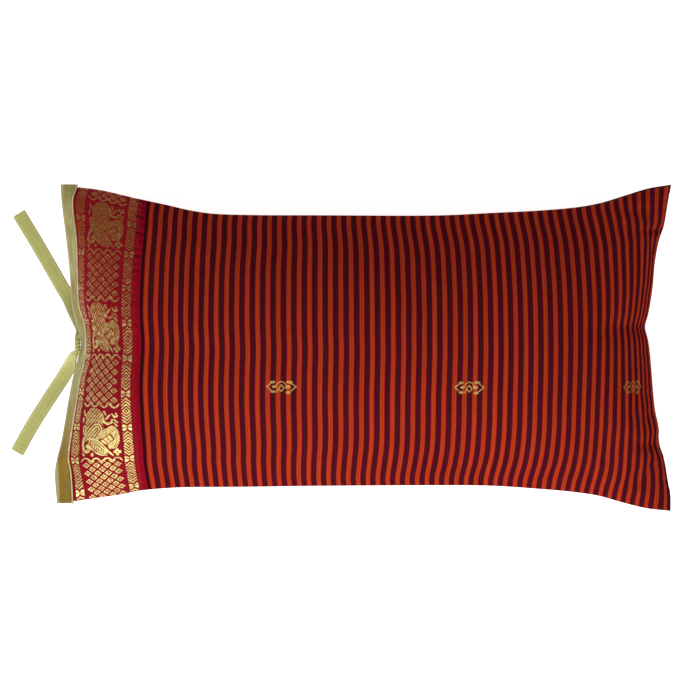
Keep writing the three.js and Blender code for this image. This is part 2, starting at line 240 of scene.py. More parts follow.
# how far the cloth lies behind an even spread over the crown: share across, then millimetres at every tenth stripe
grainLag = [
    (0, 1.9, 1.6, 1.4, 1.1, .4, -1.6), (.03, 2.4, 1.7, 1.5, 1.2, .7, -1.0), (.10, 4.0, 3.8, 4.2, 4.4, 3.0, .7),
    (.22, 4.4, 5.2, 5.9, 5.2, 3.6, .2), (.51, 5.6, 7.8, 8.7, 8.4, 6.4, 6.2), (.81, 2.0, 4.2, 6.4, 7.4, 5.9, 7.4),
    (.95, -1.7, 0, .9, 1.4, 1.7, .8), (1, -2, -.5, 0, 0, .5, 0)]
lagStations = [0, .13, .30, .47, .64, .81, .965, 1.0001]


def clothCoordinates(along, across, side):
    # even share of the smooth cover's arc in each row and column, held back by the grain's lag
    fine = np.linspace(0, 1, 801)[:, None]
    row = across[0]
    arc = skinPoint(fine + 0 * row[None, :], row[None, :] + 0 * fine, side, True)
    passed = np.cumsum(np.linalg.norm(np.diff(arc, axis=0), axis=-1), 0)
    passed = np.concatenate([0 * passed[:1], passed]) / passed[-1]
    x, y, left, right = plan(along, across)
    leftSmooth, rightSmooth = column(openSmooth, 1, across), column(sewnSmooth, 1, across)
    x = x - (left - leftSmooth) * np.exp(-(x - left) / pillowSize["leftFollow"])
    x = x - (right - rightSmooth) * np.exp(-(right - x) / pillowSize["rightFollow"])
    share = (x - leftSmooth) / (rightSmooth - leftSmooth)
    u = np.empty_like(along)
    for j in range(along.shape[1]):
        lags = [0] + [float(column(grainLag, k, row[j])) for k in range(1, 7)] + [0]
        lag = column(list(zip(lagStations, lags)), 1, share[:, j]) / 1000
        u[:, j] = np.interp(share[:, j], fine[:, 0], passed[:, j]) * pillowSize["clothLength"] - lag
    upright = np.linspace(0, 1, 401)[None, :]
    arc = skinPoint(along[:, :1] + 0 * upright, upright + 0 * along[:, :1], side, True)
    passed = np.cumsum(np.linalg.norm(np.diff(arc, axis=1), axis=-1), 1)
    passed = np.concatenate([0 * passed[:, :1], passed], 1) / passed[:, -1:]
    v = np.array([np.interp(across[i], upright[0], passed[i]) for i in range(along.shape[0])])
    return np.stack([u, v * pillowSize["clothWidth"]], -1)


def pillowPanel(side):
    tongue = pillowSize["tongueCells"]
    along = crowded(np.linspace(0, 1, pillowSize["alongCells"] + 1), pillowSize["alongCrowding"])
    across = crowded(np.linspace(0, 1, pillowSize["acrossCells"] + 1), pillowSize["acrossCrowding"])
    along, across = np.meshgrid(along, across, indexing="ij")
    skin = skinPoint(along, across, side)
    cloth = clothCoordinates(along, across, side)
    row = across[0]
    middle = seamHeight(0, row)
    under = []
    for i in range(tongue + 1):
        deepest = facingWidth(row) - cover["tongueInset"]
        towards = deepest * (1 - i / tongue)
        inner = (row > 0) & (row < 1)
        point = openPoint(row, towards, np.where(inner, cover["facingThick"] + cover["tongueGap"], 0), side)
        half = np.maximum(side * (point[:, 2] - middle), cover["tongueHalf"])
        point[:, 2] = np.where(inner, middle + side * half, middle) if i else middle
        under.append(point)
    under = np.array(under)
    margin = np.array([[[-.002 * (tongue + 1 - i), v] for v in cloth[0, :, 1]] for i in range(tongue + 1)])
    place = np.concatenate([under, skin])
    cloth = np.concatenate([margin, cloth])
    name = "pillow_front" if side > 0 else "pillow_back"
    return clothPanel(name, place.shape[0] - 1, place.shape[1] - 1, place, cloth)


pillow = pillowPanel(1)
back = pillowPanel(-1)
onlySelect(back)
bpy.ops.object.mode_set(mode="EDIT")
bpy.ops.mesh.select_all(action="SELECT")
bpy.ops.mesh.flip_normals()
bpy.ops.object.mode_set(mode="OBJECT")
onlySelect(pillow, back)
bpy.ops.object.join()
mergePoints(pillow, 2e-5)
pillow.name = pillow.data.name = "pillow"
print("pillow shaped:", len(pillow.data.vertices), "points")


def points(piece):
    flat = np.empty(len(piece.data.vertices) * 3)
    piece.data.vertices.foreach_get("co", flat)
    return flat.reshape(-1, 3)


def putPoints(piece, place):
    piece.data.vertices.foreach_set("co", place.ravel())
    piece.data.update()


def clothOf(piece):
    # cloth coordinates of each point, taken from one of its corners
    mesh = piece.data
    corners = np.empty(len(mesh.loops), int)
    mesh.loops.foreach_get("vertex_index", corners)
    flat = np.empty(len(mesh.loops) * 2)
    mesh.uv_layers["cloth"].data.foreach_get("uv", flat)
    cloth = np.zeros((len(mesh.vertices), 2))
    cloth[corners] = flat.reshape(-1, 2)
    return cloth


def settlePillow(piece):
    # the cover blown out by its filling: seams, lip and underside held, the rest free to wrinkle
    before, cloth = points(piece), clothOf(piece)
    fromSeam = np.minimum(cloth[:, 1], pillowSize["clothWidth"] - cloth[:, 1])
    fromSeam = np.minimum(fromSeam, np.minimum(pillowSize["clothLength"] - cloth[:, 0], cloth[:, 0]))
    held = np.where((fromSeam < .0035) | (before[:, 2] < .0004), 1.0, np.exp(-np.maximum(fromSeam, 0) / .006) * .5)
    group = piece.vertex_groups.new(name="held")
    for i in np.flatnonzero(held > .02):
        group.add([int(i)], float(held[i]), "REPLACE")
    made = piece.modifiers.new("cloth", "CLOTH")
    cloths = made.settings
    cloths.quality, cloths.mass = 5, .25
    cloths.tension_stiffness = cloths.compression_stiffness = 12
    cloths.shear_stiffness, cloths.bending_stiffness = 4, .35
    cloths.vertex_group_mass = "held"
    cloths.use_pressure, cloths.uniform_pressure_force = True, pillowSize["pressure"]
    cloths.shrink_min = -pillowSize["spare"]
    cloths.effector_weights.gravity = 0
    made.collision_settings.use_collision = made.collision_settings.use_self_collision = False
    made.point_cache.frame_start, made.point_cache.frame_end = 1, pillowSize["simFrames"]
    for number in range(1, pillowSize["simFrames"] + 1):
        bpy.context.scene.frame_set(number)
    onlySelect(piece)
    bpy.ops.object.modifier_apply(modifier=made.name)
    bpy.context.scene.frame_set(1)
    piece.vertex_groups.clear()
    normals = np.empty(len(before) * 3)
    piece.data.vertices.foreach_get("normal", normals)
    normals = normals.reshape(-1, 3)
    moved = normals * ((points(piece) - before) * normals).sum(1, keepdims=True)
    far = np.linalg.norm(moved, axis=1, keepdims=True)
    place = before + moved * np.minimum(1, pillowSize["simCap"] / np.maximum(far, 1e-9))
    place[:, 2] = np.maximum(place[:, 2], 0)
    putPoints(piece, place)
    print("pillow settled: furthest", round(float(far.max()) * 1000, 2), "mm, mean", round(float(far.mean()) * 1000, 2))


def gatherSeams(piece):
    # fine gathers where the cover is sewn, and small creases in the plain strip by the border
    place, cloth = points(piece), clothOf(piece)
    normals = np.empty(len(place) * 3)
    piece.data.vertices.foreach_get("normal", normals)
    normals = normals.reshape(-1, 3)
    u, v = cloth[:, 0], cloth[:, 1]
    fromLong = np.minimum(v, pillowSize["clothWidth"] - v)
    fromEnd = pillowSize["clothLength"] - u
    deep, reach = pillowSize["gatherDepth"], pillowSize["gatherReach"]
    across = np.sin(u * 620 + 2.1 * np.sin(u * 71)) + .6 * np.sin(u * 890 + 1.3)
    upright = np.sin(v * 590 + 1.7 * np.sin(v * 93)) + .6 * np.sin(v * 860)
    move = deep * across * np.exp(-fromLong / reach) * np.minimum(1, fromLong / .003)
    move = move + deep * upright * np.exp(-fromEnd / reach) * np.minimum(1, fromEnd / .003)
    strip = np.exp(-(((u - .0648) / np.where(u < .0648, .0075, .0050)) ** 2))
    creases = np.maximum(0, np.sin(v * 760 + 2.3 * np.sin(v * 57)) + .5 * np.sin(v * 1010 + u * 300)) ** 2
    move = move - pillowSize["stripCrease"] * strip * creases * np.clip(v / .296 * 1.4 - .25, 0, 1)
    free = (u > 0) & (place[:, 2] > .0006)
    place = place + normals * np.where(free, move, 0)[:, None]
    top = np.where(normals[:, 2] > .2, foldDepth(visualCreases, place[:, 0], place[:, 1]), 0)
    place = place - normals * np.minimum(top, .003)[:, None]
    place[:, 2] = np.maximum(place[:, 2], 0)
    putPoints(piece, place)


def creaseSeams(piece):
    mesh, cloth = piece.data, clothOf(piece)
    ends = np.empty(len(mesh.edges) * 2, int)
    mesh.edges.foreach_get("vertices", ends)
    ends = ends.reshape(-1, 2)
    u, v = cloth[:, 0], cloth[:, 1]
    for line in (v < 1e-6, v > pillowSize["clothWidth"] - 1e-6, u > pillowSize["clothLength"] - 1e-6):
        line = line & (u >= 0)
        sharp = line[ends].all(1)
        crease = mesh.attributes.get("crease_edge") or mesh.attributes.new("crease_edge", "FLOAT", "EDGE")
        values = np.empty(len(mesh.edges))
        crease.data.foreach_get("value", values)
        values[sharp] = 1
        crease.data.foreach_set("value", values)


settlePillow(pillow)
creaseSeams(pillow)
addModifier(pillow, "SUBSURF", levels=1, render_levels=1)
gatherSeams(pillow)
settled = points(pillow)
settled[:, 2] = np.maximum(settled[:, 2], 0)
putPoints(pillow, settled)
print("pillow finished:", len(pillow.data.polygons), "faces")
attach(pillow, "root")
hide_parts("pillow_body")

# facings
facingSize = {"stations": 150, "overhang": (.0014, .0024), "start": .0028, "thick": .0013, "fold": .0005}


def stationShares(count, overhang):
    lowest, highest = -overhang[0] / cover["openLength"], 1 + overhang[1] / cover["openLength"]
    return np.linspace(lowest, highest, count + 1)


def facingPiece(side, name):
    across = stationShares(facingSize["stations"], facingSize["overhang"])
    width = facingWidth(across)
    start, thick, fold = facingSize["start"], facingSize["thick"], facingSize["fold"]
    ring = []
    for share in np.linspace(0, 1, 9):
        ring.append((start + (width - fold - start) * share, 0 * across))
    for turn in (.25, .5, .75):
        ring.append((width - fold + fold * math.sin(math.pi * turn), thick / 2 * (1 - math.cos(math.pi * turn)) + 0 * across))
    for share in np.linspace(1, 0, 5):
        ring.append((start + (width - fold - start) * share, thick + 0 * across))
    ring.append(ring[0])
    place = np.array([openPoint(across, towards, depth, side) for towards, depth in ring])
    cloth = np.stack([np.array([towards for towards, depth in ring]), np.tile(across * cover["openLength"], (len(ring), 1))], -1)
    piece = clothPanel(name, len(ring) - 1, len(across) - 1, place, cloth)
    mergePoints(piece, 1e-6)
    closeEnds(piece)
    return piece


facingFront = facingPiece(1, "facing_front_cloth")
facingBack = facingPiece(-1, "facing_back_cloth")
for piece, node in ((facingFront, "facing_front"), (facingBack, "facing_back")):
    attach(piece, "root")
    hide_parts(node)

# piping
piping = {
    "radius": .0008, "along": .0014, "depth": .0005, "stations": 190, "sides": 10,
    "turn": [(.0016, .00175), (.0022, .0007), (.0022, -.0007), (.0016, -.00175)],
}


def sweptPiece(name, path, across, over, section, length, closed):
    # a tube of changing section along a path; cloth coordinates run round it and along it
    if closed:
        path, across, over, section = [np.concatenate([a, a[:1]]) for a in (path, across, over, section)]
        length = np.append(length, length[-1] + np.linalg.norm(path[-1] - path[-2]))
    place = path[:, None] + across[:, None] * section[:, :, :1] + over[:, None] * section[:, :, 1:2]
    place[..., 2] = np.maximum(place[..., 2], 0)
    cloth = np.stack([section[:, :, 2], np.repeat(length[:, None], section.shape[1], 1)], -1)
    piece = clothPanel(name, section.shape[1] - 1, len(path) - 1, place.transpose(1, 0, 2), cloth.transpose(1, 0, 2))
    mergePoints(piece, 1e-6)
    closeEnds(piece)
    return piece


def unit(vectors):
    return vectors / np.linalg.norm(vectors, axis=-1, keepdims=True)


def distances(path):
    return np.concatenate([[0], np.cumsum(np.linalg.norm(np.diff(path, axis=0), axis=1))])


def pipingPiece():
    across = np.linspace(0, 1, piping["stations"])
    front, back = [openPoint(across, piping["along"], piping["depth"], side) for side in (1, -1)]
    corners = []
    for end, outwards in ((1, 1), (0, -1)):
        point, middle = front[0 if end == 0 else -1], float(seamHeight(0, end))
        corners.append([[point[0], point[1] + outwards * out, middle + up] for out, up in piping["turn"]])
    path = np.concatenate([front, corners[0], back[::-1], corners[1][::-1]])
    tangent = unit(np.roll(path, -1, 0) - np.roll(path, 1, 0))
    outer = unit(np.array([-1, 0, 0]) + tangent * tangent[:, :1])
    other = np.cross(tangent, outer)
    turn = np.linspace(0, 2 * math.pi, piping["sides"] + 1)
    ring = np.stack([np.cos(turn), np.sin(turn), turn / (2 * math.pi)], -1) * piping["radius"]
    return sweptPiece("piping_cord", path, outer, other, np.repeat(ring[None], len(path), 0), distances(path), True)


pipingCord = pipingPiece()
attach(pipingCord, "root")
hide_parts("piping")
print("piping made:", len(pipingCord.data.polygons), "faces")

# ties
tieSize = {
    "width": .0132, "spacing": .0007, "knot": (-.2785, .0025, .041), "knotHalf": .005, "turns": 1.5, "steps": 14,
    "strand": .0024, "gap": .00045, "look": 1.14, "pleat": .00032, "ripple": .00022,
}

# centre of the ribbon, width and thickness; the knot comes after the third row
upperRows = [
    (-.2726, -.0056, .0400, .0050, .0020), (-.2750, -.0056, .0400, .0044, .0020), (-.2768, -.0045, .0403, .0034, .0023),
    (-.2793, .0112, .0402, .0034, .0022), (-.2792, .0165, .0365, .0034, .0019), (-.2815, .0235, .0290, .0072, .0014),
    (-.2850, .0320, .0165, .0118, .0010), (-.2892, .0405, .0082, .0132, .0010), (-.2936, .0485, .0032, .0132, .0010),
    (-.2998, .0582, .0010, .0132, .0010), (-.3095, .0753, .0005, .0132, .0010), (-.3264, .1042, .0005, .0132, .0010),
    (-.3419, .1299, .0005, .0132, .0010)]
lowerRows = [
    (-.2722, .0106, .0400, .0050, .0020), (-.2746, .0106, .0400, .0044, .0020), (-.2768, .0095, .0403, .0034, .0023),
    (-.2823, -.0066, .0394, .0074, .0017), (-.2850, -.0098, .0330, .0092, .0014), (-.2881, -.0140, .0220, .0117, .0011),
    (-.2916, -.0188, .0115, .0128, .0010), (-.2960, -.0242, .0046, .0132, .0010), (-.3006, -.0308, .0014, .0132, .0010),
    (-.3075, -.0410, .0005, .0132, .0010), (-.3148, -.0521, .0005, .0132, .0010), (-.3293, -.0752, .0005, .0132, .0010),
    (-.3435, -.1007, .0005, .0132, .0010)]


def knotStrand(direction):
    # one strand of the half knot, round an axis along Y
    share = np.linspace(0, 1, int(tieSize["steps"] * tieSize["turns"]) + 1)
    radius = (tieSize["strand"] / math.cos(math.pi / 8) + tieSize["gap"]) / 2
    turn = direction * 2 * math.pi * tieSize["turns"] * share
    x, y, z = tieSize["knot"]
    half, size = tieSize["knotHalf"], tieSize["strand"]
    return [(x + radius * math.cos(a), y + direction * half * (1 - 2 * s), z + radius * math.sin(a), size, size)
            for a, s in zip(turn, share)]


def tiePiece(name, rows, direction):
    rows = rows[:3] + knotStrand(direction) + rows[3:]
    passed = distances(np.array([row[:3] for row in rows]))
    rows = [(at, *row) for at, row in zip(passed, rows)]
    at = np.linspace(0, passed[-1], int(passed[-1] / tieSize["spacing"]) + 1)
    path = np.stack([column(rows, k, at) for k in (1, 2, 3)], -1)
    width, thick = column(rows, 4, at), column(rows, 5, at)
    inKnot = np.clip((thick - .0018) / .0006, 0, 1)
    width, thick = width * (1 + (tieSize["look"] - 1) * inKnot), thick * (1 + (tieSize["look"] - 1) * inKnot)
    width = width * (1 + 1.5 * np.exp(-((at / .0035) ** 2)))
    thick = thick * (1 - .35 * np.exp(-((at / .0035) ** 2)))
    fromEnd = passed[-1] - at
    width = np.minimum(width, tieSize["width"]) * (1 - .10 * np.exp(-fromEnd / .0006))
    bunched = np.clip((tieSize["width"] - width) / (tieSize["width"] - tieSize["strand"]), 0, 1)
    bunched = np.where(fromEnd < .01, 0, bunched)
    tangent = unit(np.gradient(path, axis=0))
    across = unit(np.stack([tangent[:, 1], -tangent[:, 0], 0 * at], -1))
    over = np.cross(across, tangent)
    s = -np.cos(np.linspace(0, math.pi, 13))
    around = np.concatenate([s, s[-2::-1]])
    sign = np.concatenate([np.ones(13), -np.ones(12)])
    power = (2 + 9 * (1 - bunched) ** 2)[:, None]
    edge = np.maximum(0, 1 - np.abs(around) ** power) ** (1 / power)
    fold = (bunched * (1 - bunched) * 4)[:, None] * tieSize["pleat"] * np.sin(around * 9 + 1.1)
    fold = fold + bunched[:, None] ** 2 * .00007 * np.sin(around * 10 + 40 * at[:, None] * direction)
    wave = (1 - bunched) ** 4 * np.sin(at * 75 + direction) * tieSize["ripple"]
    lift = (wave * np.clip(fromEnd / .02, 0, 1))[:, None] * (.5 + .5 * around * direction)
    section = np.stack([
        width[:, None] / 2 * around, sign * edge * thick[:, None] / 2 + fold + np.abs(lift),
        (1 - direction * around) / 2 * tieSize["width"] + 0 * power], -1)
    piece = sweptPiece(name, path, across, over, section, fromEnd, False)
    return piece, float(passed[-1])


ties = []
for name, node, rows, direction in (("tie_upper_ribbon", "tie_upper", upperRows, -1),
                                    ("tie_lower_ribbon", "tie_lower", lowerRows, 1)):
    tie, tieLength = tiePiece(name, rows, direction)
    ties.append(tie)
    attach(tie, "root")
    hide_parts(node)
    print(name, "made: length", round(tieLength, 4))

# finishes: node maths written as plain arithmetic
def tint(red, green, blue):
    # from a colour as a screen shows it to the light it stands for
    return tuple(((c / 255 + .055) / 1.055) ** 2.4 if c > 10 else c / 3295 for c in (red, green, blue)) + (1,)


class Value:
    # a node's socket that takes part in arithmetic
    def __init__(self, finish, socket):
        self.finish, self.socket = finish, socket

    def to(self, operation, *others):
        return self.finish.node("ShaderNodeMath", {"operation": operation}, [self, *others])

    def __add__(self, other):
        return self.to("ADD", other)

    def __mul__(self, other):
        return self.to("MULTIPLY", other)

    def __sub__(self, other):
        return self.to("SUBTRACT", other)

    def __rsub__(self, other):
        return self.finish.node("ShaderNodeMath", {"operation": "SUBTRACT"}, [other, self])

    def __truediv__(self, other):
        return self.to("DIVIDE", other)

    def __lt__(self, other):
        return self.to("LESS_THAN", other)

    def __gt__(self, other):
        return self.to("GREATER_THAN", other)

    def __abs__(self):
        return self.to("ABSOLUTE")

    def __or__(self, other):
        return self.to("MAXIMUM", other)

    def __and__(self, other):
        return self.to("MULTIPLY", other)

    __radd__, __rmul__ = __add__, __mul__


class Finish:
    def __init__(self, name, constants):
        self.material = bpy.data.materials.new(name)
        self.material.use_nodes = True
        self.tree = self.material.node_tree
        self.shader = self.tree.nodes["Principled BSDF"]
        for socket, number in constants.items():
            self.shader.inputs[socket].default_value = number

    def node(self, kind, settings=None, values=(), output=0):
        made = self.tree.nodes.new(kind)
        for name, setting in (settings or {}).items():
            if name == "stops":
                self.setStops(made.color_ramp, setting)
            else:
                setattr(made, name, setting)
        for key, value in values.items() if isinstance(values, dict) else enumerate(values):
            if isinstance(value, Value):
                self.tree.links.new(value.socket, made.inputs[key])
            else:
                made.inputs[key].default_value = value
        return Value(self, made.outputs[output])

    def setStops(self, ramp, stops):
        while len(ramp.elements) < len(stops):
            ramp.elements.new(1)
        for element, (place, colour) in zip(ramp.elements, stops):
            element.position, element.color = place, colour

    def feed(self, socket, value):
        self.tree.links.new(value.socket, self.shader.inputs[socket])

    def blend(self, share, first, second):
        return self.node("ShaderNodeMix", {"data_type": "RGBA"}, {0: share, 6: first, 7: second}, 2)

    def ramp(self, share, stops):
        return self.node("ShaderNodeValToRGB", {"stops": stops}, [share])

    def between(self, value, low, high, first=0, second=1):
        return self.node("ShaderNodeMapRange", {}, [value, low, high, first, second])

    def cloth(self):
        # the piece's own cloth coordinates in millimetres, along and across
        place = self.node("ShaderNodeUVMap", {"uv_map": "cloth"})
        return [self.node("ShaderNodeSeparateXYZ", {}, [place], side) * 1000 for side in (0, 1)]

    def pair(self, x, y, z=0):
        return self.node("ShaderNodeCombineXYZ", {}, [x, y, z])

    def noise(self, place, size, detail=2, rough=.5):
        return self.node("ShaderNodeTexNoise", {"noise_dimensions": "3D"},
                         {"Vector": place, "Scale": size, "Detail": detail, "Roughness": rough})

    def random(self, value):
        return self.node("ShaderNodeTexWhiteNoise", {"noise_dimensions": "1D"}, {"W": value})

    def vectors(self, operation, *values, output=0):
        return self.node("ShaderNodeVectorMath", {"operation": operation}, list(values), output)

    def within(self, place, centre, radii):
        # inside an ellipse
        scaled = self.vectors("MULTIPLY", self.vectors("SUBTRACT", place, (*centre, 0)), (1 / radii[0], 1 / radii[1], 0))
        return self.vectors("LENGTH", scaled, output=1) < 1

    def reach(self, place, start, end):
        # distance to a straight line between two points, and the share passed along it
        run = (end[0] - start[0], end[1] - start[1])
        square = run[0] ** 2 + run[1] ** 2
        offset = self.vectors("SUBTRACT", place, (*start, 0))
        passed = self.vectors("DOT_PRODUCT", offset, (run[0] / square, run[1] / square, 0), output=1)
        passed = self.between(passed, 0, 1)
        nearest = self.node("ShaderNodeVectorMath", {"operation": "SCALE"}, {0: (*run, 0), 3: passed})
        return self.vectors("LENGTH", self.vectors("SUBTRACT", offset, nearest), output=1), passed

    def stroke(self, place, points):
        # a line of short straight runs through points of (x, y, half width)
        drawn = None
        for (x0, y0, r0), (x1, y1, r1) in zip(points, points[1:]):
            distance, passed = self.reach(place, (x0, y0), (x1, y1))
            run = distance < passed * (r1 - r0) + r0
            drawn = run if drawn is None else drawn | run
        return drawn

    def stripes(self, value, period, share, shift=0):
        # 1 inside a share of each period
        return ((value + shift) / period).to("FRACT") < share

    def bump(self, height, depth, strength=1.0):
        return self.node("ShaderNodeBump", {}, {"Strength": strength, "Distance": depth, "Height": height})


# striped sari cloth and its woven border
sari = {
    "thread": .42, "stripeStart": 75.4, "stripePitch": 9.29,
    "orange": tint(166, 52, 22), "orangeLine": tint(136, 50, 22), "crimson": tint(120, 6, 26),
    "purple": tint(72, 12, 34), "brown": tint(64, 18, 25), "ground": tint(134, 11, 28),
    # the duller gold also stands for gold in painted shade
    "gold": tint(232, 220, 146), "dullAndShadedGold": tint(150, 104, 48),
    "edgeBand": (6.4, 3.9), "innerBand": (57.2, 4.2), "panel": (12.9, 50.9),
    "bandLines": (3.0, .43), "bandRepeat": 32.03, "bandPhase": 23.8,
    "repeat": 96.1, "birdCentre": 66.5, "birdStretch": 1.052, "birdShift": (.6, -2.17),
    "latticeCentre": 114.8, "latticeHalf": 24.3, "latticeAlong": 9.5, "latticeAcross": 8.4,
    "butis": ((13.30, 115.4, .9), (31.45, 114.6, .9), (49, 114.2, .35)),
}


def threads(finish, u, v):
    # single warp and weft threads: a little lighter or darker, and their tiny relief
    size = sari["thread"]
    warp = finish.random((u / size).to("FLOOR"))
    weft = finish.random((v / size).to("FLOOR") + 3000)
    slub = finish.noise(finish.pair(u * .06, v * 2.2), 1.0, 2)
    tone = warp * .16 + weft * .10 + slub * .24 + .75
    relief = (u * (2 * math.pi / size)).to("SINE") * .5 + (v * (2 * math.pi / size)).to("SINE") * .5
    return tone, relief


def shaded(finish, colour, tone):
    return finish.node("ShaderNodeVectorMath", {"operation": "SCALE"}, {0: colour, 3: tone})


def stripedCloth():
    finish = Finish("sari_stripes", {"Roughness": .62, "Specular IOR Level": 0})
    u, v = finish.cloth()
    wander = finish.noise(finish.pair(u * .01, v * .03), 1.0, 2) * .5 - .25
    stripe = ((u + wander - sari["stripeStart"]) / sari["stripePitch"] + .5).to("FRACT") - .5
    away = abs(stripe) * sari["stripePitch"]
    colour = finish.ramp(away / 4.645, [
        (0, sari["orangeLine"]), (.05, sari["orangeLine"]), (.10, sari["orange"]), (.37, sari["orange"]),
        (.44, sari["crimson"]), (.53, sari["crimson"]), (.60, sari["purple"]), (.72, sari["brown"]),
        (1, sari["brown"])])
    number = ((u - sari["stripeStart"]) / sari["stripePitch"] + .5).to("FLOOR")
    lineLight = abs(stripe - (finish.random(number) - .5) * .25) * sari["stripePitch"] < .22
    colour = finish.blend(lineLight & (away < 1.9) & (finish.random(number + 70) > .35), colour, tint(174, 62, 30))
    beforeStripes = u < 69.8
    firstDark = (u > 69.8) & (u < 72.6)
    colour = finish.blend(firstDark, colour, tint(46, 12, 16))
    colour = finish.blend(beforeStripes, colour, sari["ground"])
    gold = None
    for number, centre, strength in sari["butis"]:
        place = finish.pair(u - (sari["stripeStart"] + number * sari["stripePitch"]), v - centre)
        one = butiFigure(finish, place) * strength
        gold = one if gold is None else gold | one
    broken = finish.random((u / .95).to("FLOOR") + (v / 1.05).to("FLOOR") * 57)
    gold = gold * (.42 + broken * .62)
    tone, relief = threads(finish, u, v)
    colour = finish.blend(gold * .9, colour, tint(200, 172, 96))
    lowRight = finish.between(v, 50, 64, 3.4, 1.2)
    seam = (u > 572 - lowRight) | ((v > 294.6) & (u > 480))
    colour = finish.blend(seam, colour, tint(64, 14, 34))
    finish.feed("Base Color", shaded(finish, colour, tone))
    finish.feed("Metallic", gold * .35)
    finish.feed("Normal", finish.bump(relief * .4 + tone, 8e-5, gold * .6 + .4))
    return finish.material


def butiFigure(finish, place):
    # a small woven sprig: two pointed ends, knobs above and below, an arch over a diamond in the middle
    figure = finish.stroke(place, [(-8.8, 3.9, .5), (-13.0, .9, .55), (-8.8, -3.2, .5)])
    figure = figure | finish.stroke(place, [(8.8, 3.6, .5), (13.2, .3, .5), (8.4, -3.6, .5)])
    figure = figure | finish.within(place, (-7.6, 4.7), (2.3, 1.1)) | finish.within(place, (-7.4, -4.0), (2.2, 1.2))
    figure = figure | finish.within(place, (7.2, 4.7), (2.8, 1.2)) | finish.within(place, (6.2, -4.8), (2.3, 1.4))
    figure = figure | finish.within(place, (-6.2, .6), (2.4, 1.2)) | finish.within(place, (5.6, .2), (2.4, 1.7))
    figure = figure | finish.stroke(place, [(-4.6, 1.6, .5), (-2.8, 4.2, .5), (0, 5.2, .55), (2.6, 4.2, .5), (4.2, 1.8, .5)])
    figure = figure | finish.stroke(place, [(-4.0, -4.4, .5), (-2.6, -1.0, .5), (0, 2.2, .5), (2.4, -1.0, .5), (0, -3.8, .5),
                                            (-2.6, -1.0, .5)])
    return figure


def zariBand(finish, u, v, centre, half):
    # nested chevrons round diamonds, parted by small bows
    aside = abs(u - centre)
    repeat = ((v - sari["bandPhase"]) / sari["bandRepeat"] + .5).to("FRACT") - .5
    up = abs(repeat) * sari["bandRepeat"]
    lines = finish.stripes(up + aside * .95, *sari["bandLines"], .6) & (up + aside * .35 < 12.6)
    fromBow = sari["bandRepeat"] / 2 - up
    bow = (fromBow > .35) & (fromBow < 3.1) & (fromBow < aside * .9 + .9) & (aside > .3)
    return (lines | bow) & (aside < half)


def zariLattice(finish, x, y):
    # diamonds, each a ring round a dot, in rows of four and three, closed above and below by scallops
    wide, high = sari["latticeAlong"], sari["latticeAcross"]
    a = (x + wide / 2) / wide + y / high + .5
    b = (x + wide / 2) / wide - y / high + .5
    middle = (a.to("FLOOR") + b.to("FLOOR")) * (wide / 2) - wide / 2
    inCell = abs(a.to("FRACT") - .5) | abs(b.to("FRACT") - .5)
    diamond = ((inCell > .215) & (inCell < .345)) | (inCell < .09)
    arch = abs((x / wide).to("FRACT") - .5) * 2
    edge = sari["latticeHalf"] - .7 - arch * arch * 3.6
    scallop = abs(abs(y) - edge) < .75
    return scallop | (diamond & (abs(y) < edge - 1.4) & (abs(middle) < wide * 1.7))


